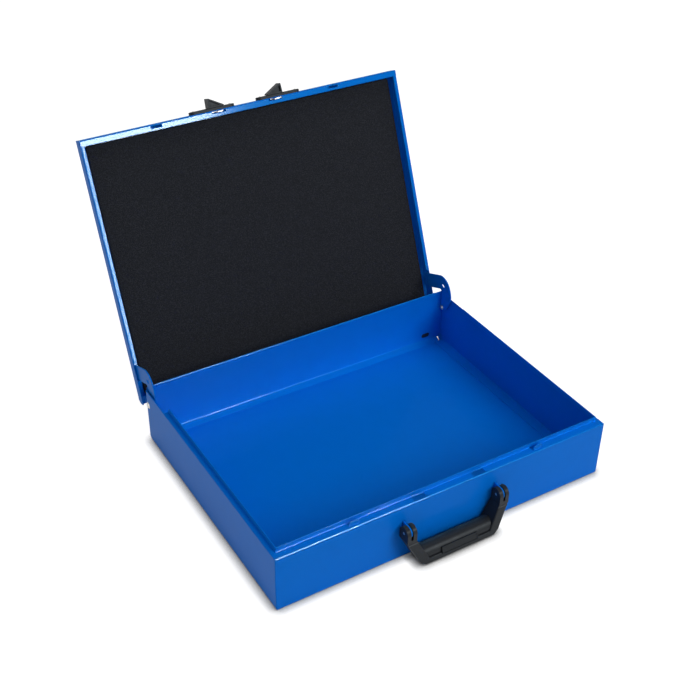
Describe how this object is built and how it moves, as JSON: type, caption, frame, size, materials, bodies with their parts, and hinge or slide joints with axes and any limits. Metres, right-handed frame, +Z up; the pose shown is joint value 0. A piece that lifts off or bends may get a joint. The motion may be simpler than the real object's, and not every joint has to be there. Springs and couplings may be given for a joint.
{
  "type": "metal case",
  "caption": "Flat rectangular sheet-steel case with a hinged foam-lined lid, sliding latches and a folding front handle.",
  "frame": {"origin": "centre of the base's flat underside", "axes": "+Z up, +Y towards the hinges at the rear, -Y towards the handle on the front, +X to the right"},
  "size_m": [0.4436, 0.511, 0.3615],
  "materials": {
    "blue_steel": "semi-gloss powder coat",
    "bare_steel": "zinc plated",
    "black_plastic": "fine grain",
    "foam": "soft foam"
  },
  "bodies": {
    "base": {"base_tray": "blue_steel", "base_end_left": "blue_steel", "base_end_right": "blue_steel", "hinge_rivets": "bare_steel", "hinge_washers": "bare_steel", "handle_bracket_left": "blue_steel", "handle_bracket_right": "blue_steel", "handle_pins": "bare_steel", "rear_buffers": "black_plastic"},
    "lid": {"lid_tray": "blue_steel", "lid_end_left": "blue_steel", "lid_end_right": "blue_steel", "hinge_ear_left": "blue_steel", "hinge_ear_right": "blue_steel", "foam_pad": "foam", "latch_frame_left": "black_plastic", "latch_frame_right": "black_plastic", "latch_frame_rivets": "bare_steel"},
    "handle": {"handle": "black_plastic"},
    "latch_left": {"latch_slider_left": "black_plastic", "latch_hook_left": "bare_steel", "hook_rivets_left": "bare_steel"},
    "latch_right": {"latch_slider_right": "black_plastic", "latch_hook_right": "bare_steel", "hook_rivets_right": "bare_steel"}
  },
  "joints": [
    {"name": "lid_hinge", "type": "hinge", "parent": "base", "child": "lid", "pos_m": [0, 0.1605, 0.0545], "axis": [1, 0, 0], "range_deg": [0, 112.2]},
    {"name": "handle_swing", "type": "hinge", "parent": "base", "child": "handle", "pos_m": [0, -0.1757, 0.047], "axis": [-1, 0, 0], "range_deg": [0, 140]},
    {"name": "latch_left_slide", "type": "slide", "parent": "lid", "child": "latch_left", "axis": [-1, 0, 0], "range_m": [0, 0.0075]},
    {"name": "latch_right_slide", "type": "slide", "parent": "lid", "child": "latch_right", "axis": [1, 0, 0], "range_m": [0, 0.0075]}
  ]
}
